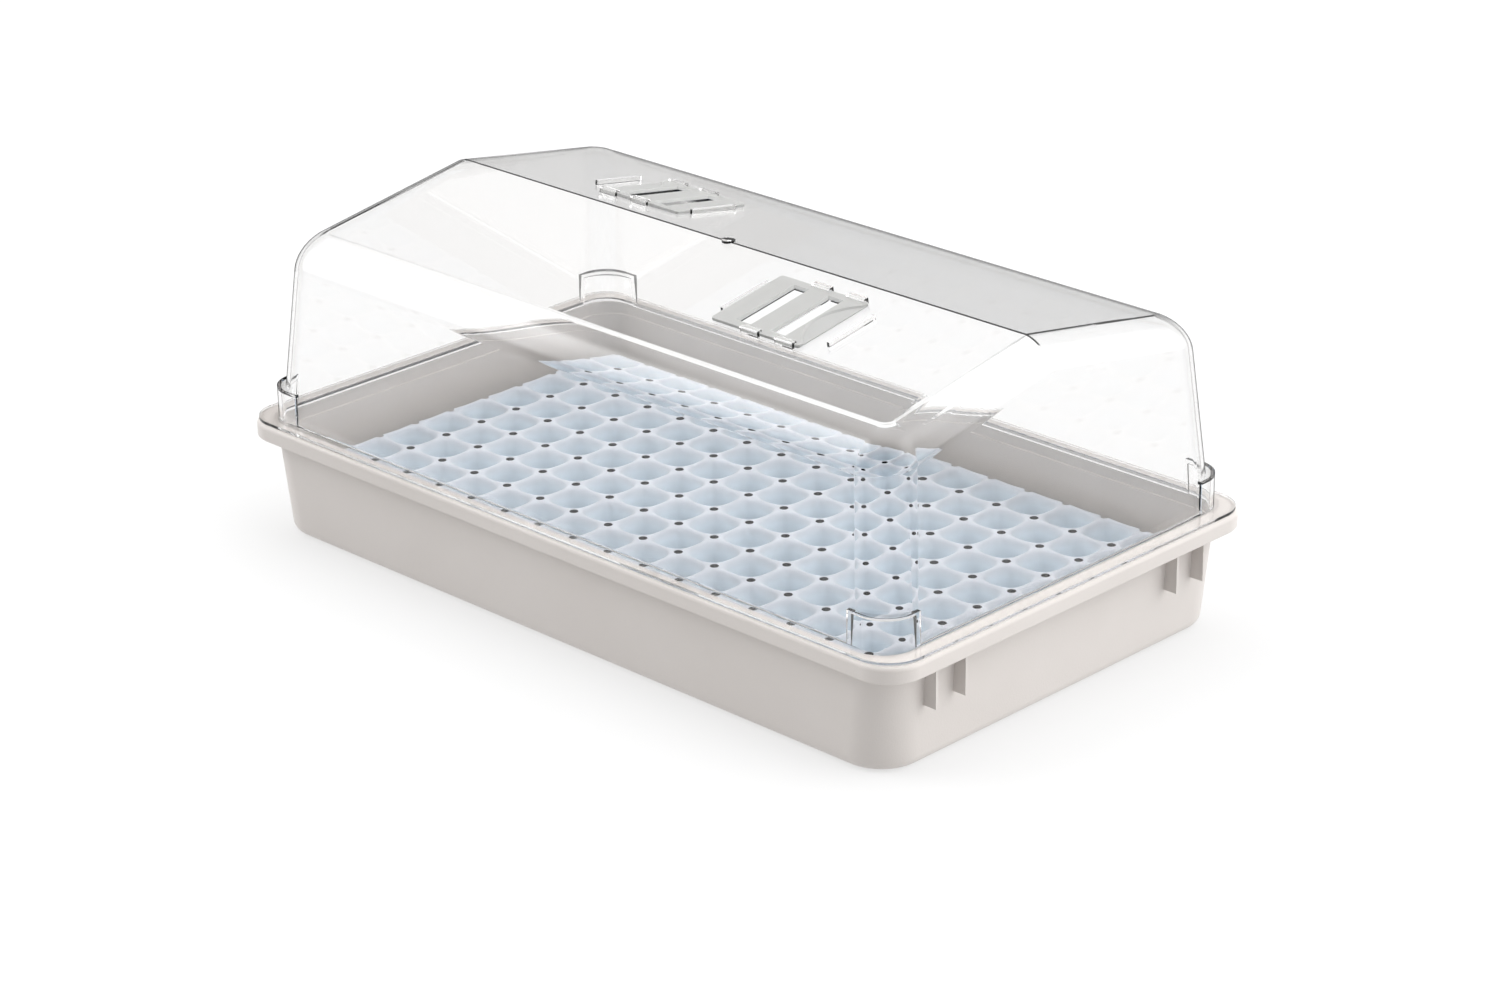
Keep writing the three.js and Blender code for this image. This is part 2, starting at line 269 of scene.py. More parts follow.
def finish_piece(target, name, body, node, material, smooth, bevel=0.0):
    """Scales a millimetre mesh to metres, rounds and shades it, and ties it to the frame.

    Edges sharper than smooth, in degrees, stay sharp. The bevel's width is in millimetres.
    """
    target.data.transform(Matrix.Scale(MM, 4))
    target.name = name
    target.data.name = name
    if bevel:
        modifier = target.modifiers.new("rounded edges", "BEVEL")
        modifier.width = bevel * MM
        modifier.segments = 2
        modifier.limit_method = "ANGLE"
        modifier.angle_limit = math.radians(50)
        modifier.use_clamp_overlap = True
        bake_modifiers(target)
    target.data.polygons.foreach_set("use_smooth", [True] * len(target.data.polygons))
    target.data.set_sharp_from_angle(angle=math.radians(smooth))
    modifier = target.modifiers.new("even shading", "WEIGHTED_NORMAL")
    modifier.keep_sharp = True
    modifier.weight = 80
    bake_modifiers(target)
    target.data.materials.clear()
    target.data.materials.append(material)
    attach(target, body)
    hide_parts(node)


# ---------------------------------------------------------------- materials
# Lengths in the materials are in metres.
PLASTIC_IOR = 1.49
GRAIN_DEPTH = 0.0003
# Painted shade: near-black colour of the insert's lower faces seen through its holes.
PAINTED_HOLE_SHADE_COLOUR = (0.01, 0.012, 0.015, 1)


def nodes_of(name):
    material = bpy.data.materials.new(name)
    material.use_nodes = True
    tree = material.node_tree
    tree.nodes.clear()
    return material, tree


def add(tree, kind, inputs=None, **settings):
    """New node. An input is a value or the socket that feeds it."""
    node = tree.nodes.new(kind)
    for key, value in settings.items():
        setattr(node, key, value)
    for key, value in (inputs or {}).items():
        if isinstance(value, bpy.types.NodeSocket):
            tree.links.new(value, node.inputs[key])
        else:
            node.inputs[key].default_value = value
    return node


def noise(tree, where, scale, detail, roughness=0.5):
    return add(
        tree,
        "ShaderNodeTexNoise",
        {"Vector": where, "Scale": scale, "Detail": detail, "Roughness": roughness},
    ).outputs["Fac"]


def spread(tree, value, low, high, from_low=0.0, from_high=1.0):
    """Stretches a value's range to another, and stays within it."""
    return add(
        tree,
        "ShaderNodeMapRange",
        {"Value": value, "From Min": from_low, "From Max": from_high, "To Min": low, "To Max": high},
    ).outputs["Result"]


def bumps(tree, height, strength, depth):
    return add(
        tree,
        "ShaderNodeBump",
        {"Height": height, "Strength": strength, "Distance": depth},
    ).outputs["Normal"]


def tinted(tree, factor, first, second):
    """Colour that goes from the first to the second as the factor goes from 0 to 1."""
    colours = {0: factor, 6: first, 7: second}
    return add(tree, "ShaderNodeMix", colours, data_type="RGBA").outputs[2]


def moulded_plastic(name, base, shade, roughness, grain, pocket=None):
    """Opaque moulded plastic: faint cloudy colour, fine grain in the surface and uneven gloss.

    A pocket is its top, its bottom and the lighter colour that is painted between them, as painted
    fill light in the pockets. With one, the faces under the holes are painted near black as shade
    and have no shine.
    """
    material, tree = nodes_of(name)
    where = add(tree, "ShaderNodeTexCoord").outputs["Object"]
    cloud = noise(tree, where, scale=9.0, detail=4.0)
    colour = tinted(tree, spread(tree, cloud, 0.0, 1.0, from_low=0.35, from_high=0.7), base, shade)
    patches = noise(tree, where, scale=60.0, detail=3.0)
    gloss = spread(tree, patches, roughness - 0.05, roughness + 0.07, from_low=0.3, from_high=0.7)
    fine = noise(tree, where, scale=grain, detail=2.0)
    looks = {
        "Roughness": gloss,
        "Normal": bumps(tree, fine, strength=0.35, depth=GRAIN_DEPTH),
        "IOR": PLASTIC_IOR,
    }
    if pocket:
        top, bottom, painted_fill_colour = pocket
        # Painted fill light: the colour turns lighter down the pockets. Painted shade: the faces under
        # the holes are near black and lose their shine.
        height = add(tree, "ShaderNodeSeparateXYZ", {"Vector": where}).outputs["Z"]
        sunk = spread(tree, height, 1.0, 0.0, from_low=bottom, from_high=top)
        painted_shade_mask = add(tree, "ShaderNodeAttribute", attribute_name="painted_hole_shade").outputs["Fac"]
        colour = tinted(tree, painted_shade_mask, tinted(tree, sunk, colour, painted_fill_colour), PAINTED_HOLE_SHADE_COLOUR)
        looks["Specular IOR Level"] = spread(tree, painted_shade_mask, 0.5, 0.0)
    looks["Base Color"] = colour
    surface = add(tree, "ShaderNodeBsdfPrincipled", looks)
    add(tree, "ShaderNodeOutputMaterial", {"Surface": surface.outputs[0]})
    return material


def clear_plastic(name, colour, painted_outline_shade, edge, haze_roughness, wave, absorb, density):
    """Clear plastic that darkens along its thickness and lets lamps light what is behind it.

    The edge is where the painted shade on its outlines begins and where it is darkest, from 0 for a
    face seen straight on to 1 for one seen edge on, and how much of a dark see-through shader is
    mixed in there. This painted shade stands in for light trapped in the rounded walls.
    """
    material, tree = nodes_of(name)
    where = add(tree, "ShaderNodeTexCoord").outputs["Object"]
    slow = noise(tree, where, scale=14.0, detail=2.0)
    haze = noise(tree, where, scale=90.0, detail=4.0, roughness=0.6)
    surface = add(
        tree,
        "ShaderNodeBsdfPrincipled",
        {
            "Base Color": colour,
            "Roughness": spread(tree, haze, 0.0, haze_roughness, from_low=0.45, from_high=0.75),
            "Normal": bumps(tree, slow, strength=0.2, depth=wave),
            "IOR": PLASTIC_IOR,
            "Transmission Weight": 1.0,
        },
    )
    # Painted shade on the outlines: where a rounded face is seen near edge on, a dark see-through
    # shader is mixed in, standing in for light trapped in the rounded wall.
    begins, darkest, most = edge
    facing = add(tree, "ShaderNodeLayerWeight", {"Blend": 0.5}).outputs["Facing"]
    grazing = spread(tree, facing, 0.0, most, from_low=begins, from_high=darkest)
    rounded = add(tree, "ShaderNodeAttribute", attribute_name="rounded").outputs["Fac"]
    painted_outline_share = add(
        tree, "ShaderNodeMath", {0: rounded, 1: grazing}, operation="MULTIPLY"
    ).outputs[0]
    painted_outline_dark = add(tree, "ShaderNodeBsdfTransparent", {"Color": painted_outline_shade})
    glass = add(tree, "ShaderNodeMixShader", {0: painted_outline_share, 1: surface.outputs[0], 2: painted_outline_dark.outputs[0]})
    lamp_ray = add(tree, "ShaderNodeLightPath").outputs["Is Shadow Ray"]
    clear = add(tree, "ShaderNodeBsdfTransparent", {"Color": (1, 1, 1, 1)})
    mix = add(tree, "ShaderNodeMixShader", {0: lamp_ray, 1: glass.outputs[0], 2: clear.outputs[0]})
    depth = add(tree, "ShaderNodeVolumeAbsorption", {"Color": absorb, "Density": density})
    add(tree, "ShaderNodeOutputMaterial", {"Surface": mix.outputs[0], "Volume": depth.outputs[0]})
    return material


def smoky_plastic(name, colour, roughness, see_through, scatter, scatter_depth):
    """Milky plastic that scatters light inside and lets some of it through."""
    material, tree = nodes_of(name)
    where = add(tree, "ShaderNodeTexCoord").outputs["Object"]
    haze = noise(tree, where, scale=70.0, detail=4.0, roughness=0.6)
    fine = noise(tree, where, scale=800.0, detail=2.0)
    rough = spread(tree, haze, roughness - 0.04, roughness + 0.06, from_low=0.3, from_high=0.7)
    surface = add(
        tree,
        "ShaderNodeBsdfPrincipled",
        {
            "Base Color": colour,
            "Roughness": rough,
            "Normal": bumps(tree, fine, strength=0.25, depth=0.0002),
            "IOR": PLASTIC_IOR,
            "Transmission Weight": see_through,
            "Subsurface Weight": scatter,
            "Subsurface Radius": (1.0, 1.0, 1.0),
            "Subsurface Scale": scatter_depth,
        },
    )
    add(tree, "ShaderNodeOutputMaterial", {"Surface": surface.outputs[0]})
    return material


TRAY_PLASTIC = moulded_plastic(
    "tray_plastic",
    base=(0.625, 0.588, 0.563, 1),
    shade=(0.60, 0.563, 0.537, 1),
    roughness=0.42,
    grain=900.0,
)
INSERT_PLASTIC = moulded_plastic(
    "insert_plastic",
    base=(0.555, 0.59, 0.65, 1),
    shade=(0.525, 0.56, 0.62, 1),
    roughness=0.5,
    grain=700.0,
    # Painted fill light: the pockets' colour turns lighter from the first height down to the second,
    # and the faces under the holes get painted shade.
    pocket=(
        (INSERT_HIGH.z - INSERT["painted_light_from"]) * MM,
        (INSERT_HIGH.z - INSERT["painted_light_full"]) * MM,
        (0.69, 0.77, 0.84, 1),
    ),
)
CLEAR_PLASTIC = clear_plastic(
    "clear_plastic",
    colour=(0.992, 0.988, 0.984, 1),
    # The next two set the painted dark shade on the dome's rounded outlines.
    painted_outline_shade=(0.05, 0.06, 0.08, 1),
    edge=(0.75, 0.92, 0.95),
    haze_roughness=0.03,
    wave=0.00006,
    absorb=(0.31, 0.30, 0.30, 1),
    density=17.0,
)
VENT_PLASTIC = smoky_plastic(
    "vent_plastic",
    colour=(0.475, 0.475, 0.465, 1),
    roughness=0.32,
    see_through=0.2,
    scatter=0.7,
    scatter_depth=0.004,
)


# ---------------------------------------------------------------- base tray
def tray_profile():
    """Half lengths, corner radius and height of each ring, from the underside to the inside floor."""
    t = TRAY
    half = (TRAY_HIGH.x, TRAY_HIGH.y)
    wall = (half[0] - t["overhang_x"], half[1] - t["overhang_y"])
    base = (wall[0] - t["draft"], wall[1] - t["draft"])
    height = TRAY_HIGH.z
    under = height - t["rim_thickness"]
    skirt_bottom = height - t["skirt"]
    few, some, many = 3, 5, 8  # steps of a small, a middling and a large rounding

    def from_base(inset, z):
        return base[0] - inset, base[1] - inset, t["base_corner"] - inset, z

    def from_rim(inset, z):
        return half[0] - inset, half[1] - inset, t["corner"] - inset, z

    def from_wall(inset, z):
        return wall[0] - inset, wall[1] - inset, t["corner"] - inset, z

    fillet = t["base_fillet"]
    for inset, z in arc((fillet, fillet), -fillet, 90, 0, many):
        yield from_base(inset, z)
    root = t["rim_root"]
    yield from_wall(0, under - root)
    for out, z in arc((root, under - root), root, 180, 90, few):
        yield from_wall(-out, z)
    inner, root = t["rim_thickness"], t["skirt_root"]
    for inset, z in arc((inner + root, under - root), root, 90, 180, few):
        yield from_rim(inset, z)
    lip = t["skirt_inner_round"]
    yield from_rim(inner, skirt_bottom + lip)
    for inset, z in arc((inner - lip, skirt_bottom + lip), lip, 0, -90, few):
        yield from_rim(inset, z)
    lip = t["skirt_outer_round"]
    for inset, z in arc((lip, skirt_bottom + lip), lip, -90, -180, few):
        yield from_rim(inset, z)
    crown = t["rim_round"]
    for inset, z in arc((crown, height - crown), crown, 180, 90, many):
        yield from_rim(inset, z)
    mouth = t["mouth_round"]
    inside = t["wall"] - t["recess_step"]
    for inset, z in arc((inside - mouth, height - mouth), mouth, 90, 0, some):
        yield from_wall(inset, z)
    step_z = height - t["recess_depth"]
    root = t["step_root"]
    yield from_wall(inside, step_z + root)
    for inset, z in arc((inside + root, step_z + root), root, 180, 270, few):
        yield from_wall(inset, z)
    nose = t["step_round"]
    for inset, z in arc((t["wall"] - nose, step_z - nose), nose, 90, 0, few):
        yield from_wall(inset, z)
    floor_fillet = fillet - t["wall"]
    centre = (t["wall"] + floor_fillet, t["floor"] + floor_fillet)
    for inset, z in arc(centre, -floor_fillet, 0, 90, many):
        yield from_base(inset, z)


def tray_ribs():
    """Thin ribs under the rim of both short ends."""
    r = RIB
    wall = TRAY_HIGH.x - TRAY["overhang_x"]
    root = wall - JOIN
    tip = wall + r["reach"]
    under = TRAY_HIGH.z - TRAY["rim_thickness"] + JOIN / 2
    side = (
        (root - TRAY["draft"] / 2, r["bottom"]),
        (tip, r["bottom"]),
        (tip, under),
        (root, under),
    )
    ribs = []
    for end in (1, -1):
        for place in r["places"]:
            for sign in (1, -1):
                rib = prism([(end * x, z) for x, z in side], r["thickness"])
                turn = Matrix.Rotation(math.pi / 2, 4, "X")
                shift = Matrix.Translation((0, sign * place + r["thickness"] / 2, 0))
                rib.transform(shift @ turn)
                bmesh.ops.recalc_face_normals(rib, faces=rib.faces)
                ribs.append(scratch(rib))
    return ribs


def make_tray():
    tray = scratch(loft([level_ring(*ring) for ring in tray_profile()]))
    combine(tray, tray_ribs(), "UNION")
    finish_piece(
        tray,
        "tray",
        body="tray",
        node="base_tray",
        material=TRAY_PLASTIC,
        smooth=30.0,
    )


# ---------------------------------------------------------------- cell insert
PITCH_X = (INSERT_HIGH.x - INSERT_LOW.x) / INSERT["columns"]
PITCH_Y = (INSERT_HIGH.y - INSERT_LOW.y) / INSERT["rows"]
RIDGE_JOIN = 0.02  # neighbouring cells share the points of the ridge between them


def cell_outline():
    """Outline of a cell about its middle, with a quarter of a hole at each corner."""
    c = INSERT
    hole = c["hole"]
    points = []
    for quarter, (sx, sy) in enumerate(QUADRANTS):
        corner_x, corner_y = sx * PITCH_X / 2, sy * PITCH_Y / 2
        for step in range(c["hole_steps"] + 1):
            angle = math.radians(90 * quarter - 90 * step / c["hole_steps"] + 270)
            points.append((corner_x + hole * math.cos(angle), corner_y + hole * math.sin(angle)))
        nx, ny = ((-1, 0), (0, -1), (1, 0), (0, 1))[quarter]
        length = (PITCH_X if nx else PITCH_Y) - 2 * hole
        start_x, start_y = corner_x + nx * hole, corner_y + ny * hole
        for step in range(1, c["side_steps"]):
            along = length * step / c["side_steps"]
            points.append((start_x + nx * along, start_y + ny * along))
    return points


def sag(x, y):
    """Drop of the ridge at a point of a cell's outline: none at its corners, most between them."""
    return INSERT["sag"] * (math.cos(math.pi * x / PITCH_X) ** 2 + math.cos(math.pi * y / PITCH_Y) ** 2)


def squircle(angle, half_width, power):
    """How far out a rounded square lies. A power of 2 makes a circle."""
    across, along = abs(math.cos(angle)), abs(math.sin(angle))
    return half_width / (across**power + along**power) ** (1 / power)


def pocket_rings(outline, x0, y0):
    """Rings of points from the ridge round a cell down to the bottom of its pocket."""
    top = INSERT_HIGH.z
    bottom = INSERT_LOW.z + INSERT["skin"]
    rings = [[(x0 + x, y0 + y, top - sag(x, y)) for x, y in outline]]
    for share, half_width, power in POCKET:
        fade = max(0.0, 1 - share / INSERT["sag_share"])
        ring = []
        for x, y in outline:
            angle = math.atan2(y, x)
            out = squircle(angle, half_width, power)
            z = top - sag(x, y) * fade + (bottom - top) * share
            ring.append((x0 + out * math.cos(angle), y0 + out * math.sin(angle), z))
        rings.append(ring)
    return rings


def mark_painted_hole_shade(sheet, upper_faces):
    """Face attribute that is 1 on the lower side of the sheet where its holes let it be seen. The
    material paints these faces near black, as painted shade.
    """
    painted_shade_mask = sheet.data.attributes.new("painted_hole_shade", "FLOAT", "FACE")
    inner_x, inner_y = INSERT_HIGH.x - PITCH_X / 2, INSERT_HIGH.y - PITCH_Y / 2
    for face in sheet.data.polygons:
        x, y, z = face.center
        inside = abs(x) < inner_x and abs(y) < inner_y
        near_top = z > INSERT_HIGH.z - INSERT["painted_shade_depth"]
        painted_shade_mask.data[face.index].value = float(face.index >= upper_faces and inside and near_top)


def make_insert():
    """Sheet of rounded pockets. Its ridges sag between their crossings, which have holes."""
    outline = cell_outline()
    mesh = bmesh.new()
    for column in range(INSERT["columns"]):
        for row in range(INSERT["rows"]):
            x0 = INSERT_LOW.x + (column + 0.5) * PITCH_X
            y0 = INSERT_LOW.y + (row + 0.5) * PITCH_Y
            rings = pocket_rings(outline, x0, y0)
            loops = [[mesh.verts.new(point) for point in ring] for ring in rings]
            bridge(mesh, loops)
            mesh.faces.new(loops[-1])
    bmesh.ops.remove_doubles(mesh, verts=mesh.verts, dist=RIDGE_JOIN)
    upper_faces = len(mesh.faces)
    sheet = scratch(mesh)
    modifier = sheet.modifiers.new("skin", "SOLIDIFY")
    modifier.thickness = INSERT["skin"]
    modifier.offset = -1.0
    bake_modifiers(sheet)
    mark_painted_hole_shade(sheet, upper_faces)
    finish_piece(
        sheet,
        "insert",
        body="insert",
        node="cell_insert",
        material=INSERT_PLASTIC,
        smooth=50.0,
    )


# ---------------------------------------------------------------- dome
def roof_height(y):
    return RIDGE - math.tan(DOME["pitch"]) * abs(y)


def dome_rings(inset, bottom):
    """Rings from the foot of the wall, round the eaves and up to the ridge.

    With an inset they make the inner skin, which has no fillet at its foot.
    """
    d = DOME
    drop = inset / math.cos(d["pitch"])
    foot_x, foot_y = DOME_HIGH.x - d["foot_x"] - inset, DOME_HIGH.y - d["foot_y"] - inset

    def leaned(point, z):
        x, y, sx, sy = point
        lean = d["lean"] * (z - FOOT_Z)
        return Vector((x - sx * lean, y - sy * lean, z))

    def around(share, out=0.0):
        """Outline at a share of the way round the eaves, or out from the wall in the fillet."""
        corner = d["corner"] - inset
        corner += (d["eave_corner"] - corner) * share + out
        half_x = foot_x - (d["eave_x"] - inset) * share + out
        half_y = foot_y - (d["eave_y"] - inset) * share + out
        return rounded_rectangle(half_x, half_y, corner, d["corner_steps"], middles=True)

    def under_roof(point, below):
        """The lean depends on the height and the roof's height on the lean, so it is found in turns."""
        placed = leaned(point, RIDGE)
        for _ in range(8):
            placed = leaned(point, roof_height(placed.y) - drop - below)
        return placed

    fillet = 0.0 if inset else d["foot_fillet"]
    rings = [[leaned(point, bottom) for point in around(0, fillet)]]
    if fillet:
        for out, z in arc((fillet, FOOT_Z + fillet), fillet, -90, -180, steps=5):
            rings.append([leaned(point, z) for point in around(0, out)])
    for step in range(d["eave_steps"] + 1):
        angle = step / d["eave_steps"] * d["eave_turn"]
        below = (d["eave_drop"] - inset) * (1 - math.sin(angle) / math.sin(d["eave_turn"]))
        share = (1 - math.cos(angle)) / (1 - math.cos(d["eave_turn"]))
        rings.append([under_roof(point, below) for point in around(share)])
    ridge_end = rings[-1][0].x
    ridge = [Vector((max(-ridge_end, min(ridge_end, p.x)), 0, RIDGE - drop)) for p in rings[-1]]
    return rings + [ridge]


def dome_body(inset, bottom):
    """Solid inside the dome's outer skin, or inside its inner skin when inset by the wall."""
    return scratch(loft(dome_rings(inset, bottom), top=False))


def lug_bodies(inset, bottom):
    """The four stacking lugs, or the hollows inside them when inset by the wall."""
    top = FOOT_Z + LUG["height"] - inset
    x = DOME_HIGH.x - DOME["foot_x"] + LUG["proud"] - inset
    y = DOME_HIGH.y - DOME["foot_y"] + LUG["proud"] - inset
    bodies = []
    for sx in (1, -1):
        for sy in (1, -1):
            rings = [level_ring(x, y, LUG["corner"] - inset, z) for z in (bottom, top)]
            whole = scratch(loft(rings))
            x0, x1 = sorted((sx * (LUG["from_x"] + inset), sx * FAR))
            y0, y1 = sorted((sy * (LUG["from_y"] + inset), sy * FAR))
            corner = scratch(block(x0, x1, y0, y1, -FAR, FAR))
            bodies.append(combine(whole, [corner], "INTERSECT"))
    return bodies


def onto_roof(target, side):
    """Moves a scratch object from the middle of a vent drawn flat onto its slope."""
    slope = Matrix.Translation((VENT["x"], -VENT["y"], roof_height(VENT["y"])))
    slope = slope @ Matrix.Rotation(DOME["pitch"], 4, "X")
    turn = Matrix.Rotation(math.pi, 4, "Z") if side > 0 else Matrix.Identity(4)
    target.data.transform(turn @ slope)
    return target


def clip(x, end):
    """Hook over a long edge of the plate, drawn flat."""
    v = VENT
    edge = v["plate_length"] / 2 + v["lift"]
    outer = edge + v["clip_post"]
    over = v["lift"] + v["plate"] + v["clip_room"]
    top = over + v["clip_lip_thickness"]
    side = (
        (edge, -JOIN),
        (outer, -JOIN),
        (outer, top),
        (edge - v["clip_lip"], top),
        (edge - v["clip_lip"], over),
        (edge, over),
    )
    mesh = prism(side, v["clip_length"])
    # The outline stands up: its x runs along y, its y along z, and its depth along x.
    standing = Matrix(((0, 0, 1, 0), (1, 0, 0, 0), (0, 1, 0, 0), (0, 0, 0, 1)))
    turn = Matrix.Rotation(math.pi if end < 0 else 0.0, 4, "Z")
    middle = Matrix.Translation((-v["clip_length"] / 2, 0, 0))
    mesh.transform(Matrix.Translation((x, 0, 0)) @ turn @ middle @ standing)
    bmesh.ops.recalc_face_normals(mesh, faces=mesh.faces)
    return scratch(mesh)


def vent_guides(side):
    """End stops and clips of the vent on one slope."""
    v = VENT
    guides = []
    for end in (1, -1):
        inner = end * v["stop_half_gap"]
        x0, x1 = sorted((inner, inner + end * v["stop_thickness"]))
        half = v["stop_length"] / 2
        guides.append(scratch(block(x0, x1, -half, half, -JOIN, v["stop_height"])))
        guides.extend(clip(x, end) for x in v["clip_places"])
    return [onto_roof(guide, side) for guide in guides]


def vent_slots(side, wider=0.0):
    """Upright cutters through the roof, and the plate on it, at the slots of the open vent."""
    v = VENT
    half_x = v["slot_width"] / 2 + wider
    half_y = (v["slot_length"] / 2 + wider) * math.cos(DOME["pitch"])
    slots = []
    for end in (-1, 1):
        x = v["x"] - v["play"] + end * v["slot_pitch"] / 2
        mesh = block(x - half_x, x + half_x, -v["y"] - half_y, -v["y"] + half_y, v["slots_from"], FAR)
        if side > 0:
            mesh.transform(Matrix.Rotation(math.pi, 4, "Z"))
        slots.append(scratch(mesh))
    return slots


def mark_rounded(shell):
    """Face attribute that is 0 on the dome's flat panels and 1 on everything rounded or small. Only
    where it is 1 does the painted shade on the outlines fall.
    """
    panels = (
        Vector((0, math.sin(DOME["pitch"]), math.cos(DOME["pitch"]))),
        Vector((1, 0, DOME["lean"])).normalized(),
        Vector((0, 1, DOME["lean"])).normalized(),
        Vector((0, 0, 1)),
    )
    rounded = shell.data.attributes.new("rounded", "FLOAT", "FACE")
    for face in shell.data.polygons:
        across = Vector([abs(part) for part in face.normal])
        rounded.data[face.index].value = float(
            all(across.dot(panel) < DOME["flat"] for panel in panels)
        )


def make_dome():
    d = DOME
    low = DOME_LOW.z
    shell = dome_body(0, low)
    edge = (DOME_HIGH.x, DOME_HIGH.y, d["edge_corner"])
    flange = scratch(loft([level_ring(*edge, z) for z in (low, low + d["flange"])]))
    levels = (RIDGE - JOIN, RIDGE + d["gate_height"])
    gate = scratch(loft([circle(d["gate_radius"], z, steps=32) for z in levels]))
    extras = [flange, gate] + lug_bodies(0, low)
    combine(shell, extras + vent_guides(-1) + vent_guides(1), "UNION")
    under = low - JOIN
    cuts = [dome_body(d["thickness"], under)] + lug_bodies(d["thickness"], under)
    slots = [slot for side in (-1, 1) for slot in vent_slots(side, VENT["slot_step"])]
    combine(shell, cuts + slots, "DIFFERENCE")
    mark_rounded(shell)
    finish_piece(
        shell,
        "dome_shell",
        body="dome",
        node="dome",
        material=CLEAR_PLASTIC,
        smooth=14.0,
    )


# ---------------------------------------------------------------- vent sliders
def half_moon(z):
    """Outline of the thumb recess at one height: its curved side slants, its straight side is open."""
    edge = VENT["plate_width"] / 2
    grow = (z - VENT["plate"]) / GRIP["depth"] * GRIP["slant"]
    half, bulge = GRIP["half_length"] + grow, GRIP["bulge"] + grow
    ring = [Vector((edge + JOIN, -half, z)), Vector((edge + JOIN, half, z))]
    for step in range(GRIP["steps"] + 1):
        along = 1 - 2 * step / GRIP["steps"]
        ring.append(Vector((edge - bulge * (1 - along**2), along * half, z)))
    return ring


def slot_flare(x):
    """Widens a plate's slot upwards at 45 degrees, so that light falls on its sides."""
    v = VENT
    rings = []
    for z in (v["flare_from"], v["plate"] + JOIN):
        half_x = v["slot_width"] / 2 + z - v["flare_from"]
        half_y = v["slot_length"] / 2 + z - v["flare_from"]
        rings.append([Vector((x + sx * half_x, sy * half_y, z)) for sx, sy in QUADRANTS])
    return scratch(loft(rings))


def make_slider(side, name, body, node):
    """Slotted plate, drawn flat, cut and laid on its slope. Its own slots are cut there, upright."""
    v = VENT
    half_x, half_y = v["plate_width"] / 2, v["plate_length"] / 2
    outline = rounded_rectangle(half_x, half_y, v["plate_corner"], steps=5)
    plate = scratch(prism([(x, y) for x, y, _, _ in outline], v["plate"]))
    levels = (v["plate"] - GRIP["depth"], v["plate"] + JOIN)
    cuts = [scratch(loft([half_moon(z) for z in levels]))]
    cuts += [slot_flare(end * v["slot_pitch"] / 2) for end in (-1, 1)]
    combine(plate, cuts, "DIFFERENCE")
    plate.data.transform(Matrix.Translation((-v["play"], 0, v["lift"])))
    onto_roof(plate, side)
    combine(plate, vent_slots(side), "DIFFERENCE")
    finish_piece(
        plate,
        name,
        body=body,
        node=node,
        material=VENT_PLASTIC,
        smooth=30.0,
        bevel=v["plate_edge"],
    )


make_tray()
make_insert()
make_dome()
make_slider(-1, "front_slider", body="front_vent", node="front_vent_slider")
make_slider(1, "rear_slider", body="rear_vent", node="rear_vent_slider")


# ---------------------------------------------------------------- stage, light and camera
FLOOR = {"half_size": 14.0, "cells": 24, "grey": 0.3, "glow": 0.59}

# Each lobe of the studio: direction, cosines of its edge and its even middle, and its strength.
ROOM = {
    "fill": 0.88,
    "soft_boxes": (
        ((0.0, 0.0, 1.0), 0.45, 0.95, 1.4),
        ((0.85, 0.45, 0.30), 0.45, 0.92, 1.6),
        ((-0.66, -0.53, 0.53), 0.88, 0.96, 3.2),
    ),
    "dark_corners": (
        ((0.40, -0.88, 0.12), 0.1, 0.85, 0.93),
        ((-0.647, 0.755, 0.10), 0.92, 0.985, 0.49),
        ((-0.80, 0.53, 0.30), 0.978, 0.993, 0.95),
    ),
}

# Lengths in metres. The aim is a point of the object, moved aside and up in the picture's plane.
CAMERA = {
    "azimuth": math.radians(44.65),
    "elevation": math.radians(22.993),
    "roll": math.radians(-0.773),
    "distance": 2.5982,
    "lens": 94.39,
    "sensor_width": 36.0,
    "clip_end": 100.0,
    "aim": (0.0, 0.0, 0.080),
    "aim_right": 0.01194,
    "aim_up": -0.02635,
}


def make_floor():
    """White light table, wide enough for any view."""
    cells = FLOOR["cells"]
    mesh = bmesh.new()
    bmesh.ops.create_grid(mesh, x_segments=cells, y_segments=cells, size=FLOOR["half_size"])
    floor = scratch(mesh, "floor")
    material, tree = nodes_of("floor_white")
    surface = add(
        tree,
        "ShaderNodeBsdfPrincipled",
        {
            "Base Color": (FLOOR["grey"], FLOOR["grey"], FLOOR["grey"], 1),
            "Roughness": 0.9,
            "Specular IOR Level": 0.0,
            "Emission Color": (1, 1, 1, 1),
            "Emission Strength": FLOOR["glow"],
        },
    )
    add(tree, "ShaderNodeOutputMaterial", {"Surface": surface.outputs[0]})
    floor.data.materials.append(material)


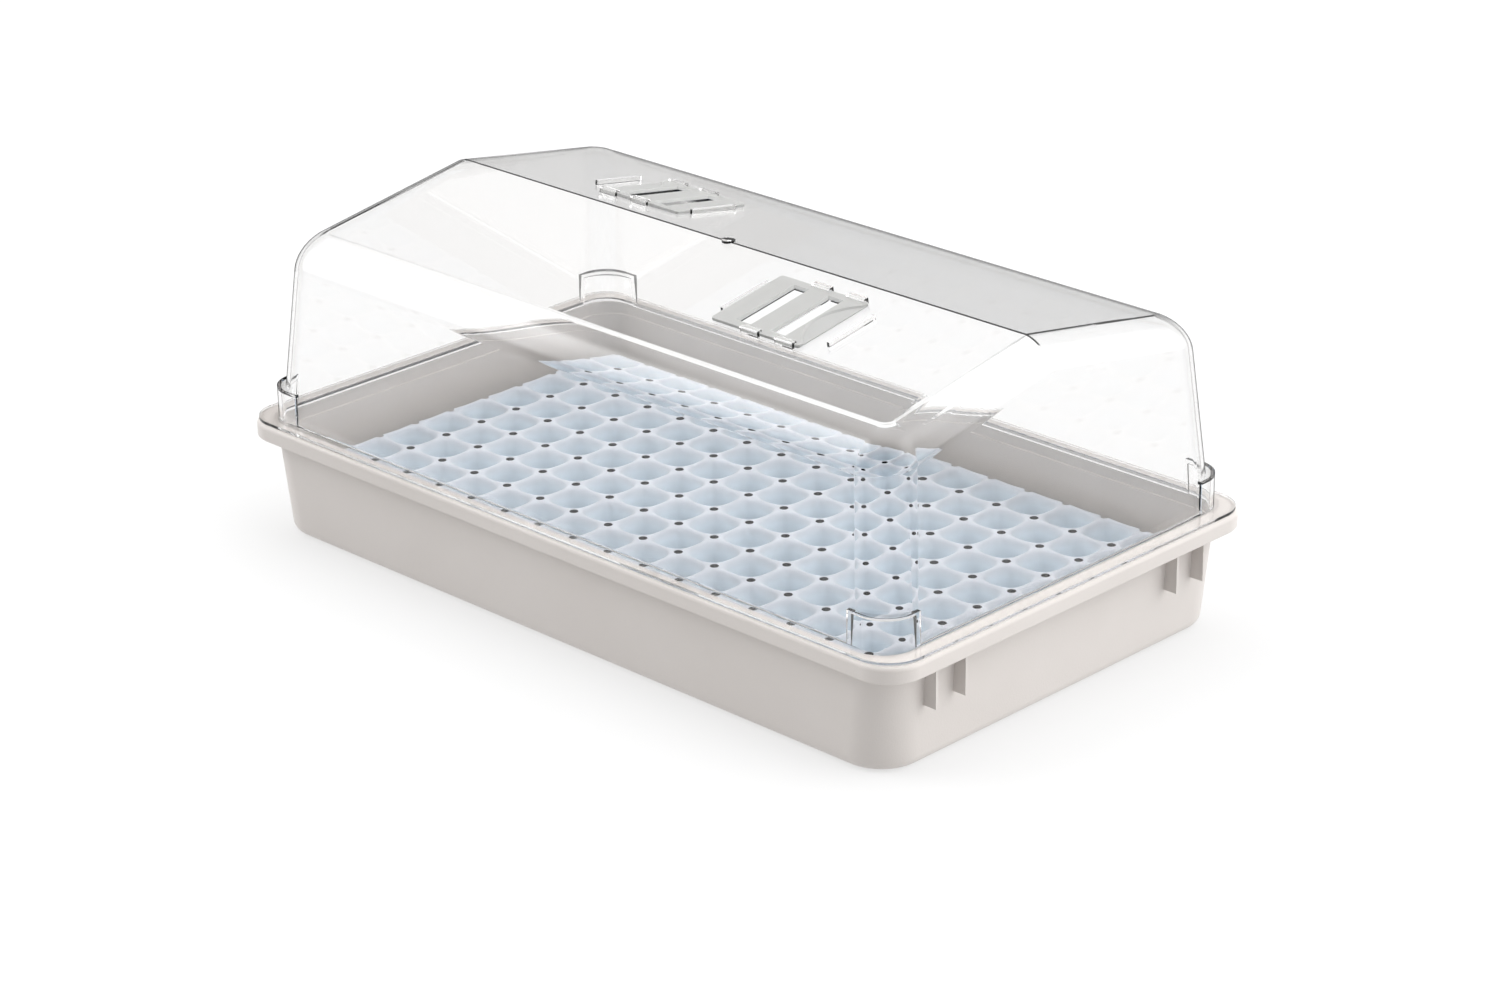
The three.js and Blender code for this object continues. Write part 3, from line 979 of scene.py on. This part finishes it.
def make_world():
    """Studio as a glow in every direction: soft boxes overhead, left and right, and dark corners."""
    world = bpy.data.worlds.new("studio")
    bpy.context.scene.world = world
    world.use_nodes = True
    tree = world.node_tree
    tree.nodes.clear()
    ray = add(tree, "ShaderNodeTexCoord").outputs["Generated"]

    def lobe(towards, edge, full, amount):
        """Amount that rises smoothly from the edge cosine to the full cosine."""
        direction = Vector(towards).normalized()
        cosine = add(
            tree, "ShaderNodeVectorMath", {0: ray, 1: direction}, operation="DOT_PRODUCT"
        ).outputs["Value"]
        return add(
            tree,
            "ShaderNodeMapRange",
            {"Value": cosine, "From Min": edge, "From Max": full, "To Min": 0.0, "To Max": amount},
            interpolation_type="SMOOTHSTEP",
        ).outputs["Result"]

    glow = ROOM["fill"]
    for towards, edge, full, amount in ROOM["soft_boxes"]:
        glow = add(
            tree, "ShaderNodeMath", {0: glow, 1: lobe(towards, edge, full, amount)}, operation="ADD"
        ).outputs[0]
    for towards, edge, full, amount in ROOM["dark_corners"]:
        kept = add(
            tree, "ShaderNodeMath", {0: 1.0, 1: lobe(towards, edge, full, amount)}, operation="SUBTRACT"
        ).outputs[0]
        glow = add(tree, "ShaderNodeMath", {0: glow, 1: kept}, operation="MULTIPLY").outputs[0]
    background = add(tree, "ShaderNodeBackground", {"Color": (1, 1, 1, 1), "Strength": glow})
    add(tree, "ShaderNodeOutputWorld", {"Surface": background.outputs[0]})


def make_camera():
    c = CAMERA
    cos_az, sin_az = math.cos(c["azimuth"]), math.sin(c["azimuth"])
    cos_el, sin_el = math.cos(c["elevation"]), math.sin(c["elevation"])
    right = Vector((cos_az, sin_az, 0))
    back = Vector((sin_az * cos_el, -cos_az * cos_el, sin_el))
    up = back.cross(right)
    cos_roll, sin_roll = math.cos(c["roll"]), math.sin(c["roll"])
    rolled_right = cos_roll * right + sin_roll * up
    rolled_up = -sin_roll * right + cos_roll * up
    data = bpy.data.cameras.new("camera")
    data.lens = c["lens"]
    data.sensor_width = c["sensor_width"]
    data.clip_end = c["clip_end"]
    camera = bpy.data.objects.new("camera", data)
    bpy.context.scene.collection.objects.link(camera)
    aim = Vector(c["aim"]) + c["aim_right"] * rolled_right + c["aim_up"] * rolled_up
    place = aim + c["distance"] * back
    turn = Matrix((rolled_right, rolled_up, back)).transposed()
    camera.matrix_world = Matrix.Translation(place) @ turn.to_4x4()
    bpy.context.scene.camera = camera


make_floor()
make_world()
make_camera()

bpy.context.scene.view_settings.view_transform = "Standard"
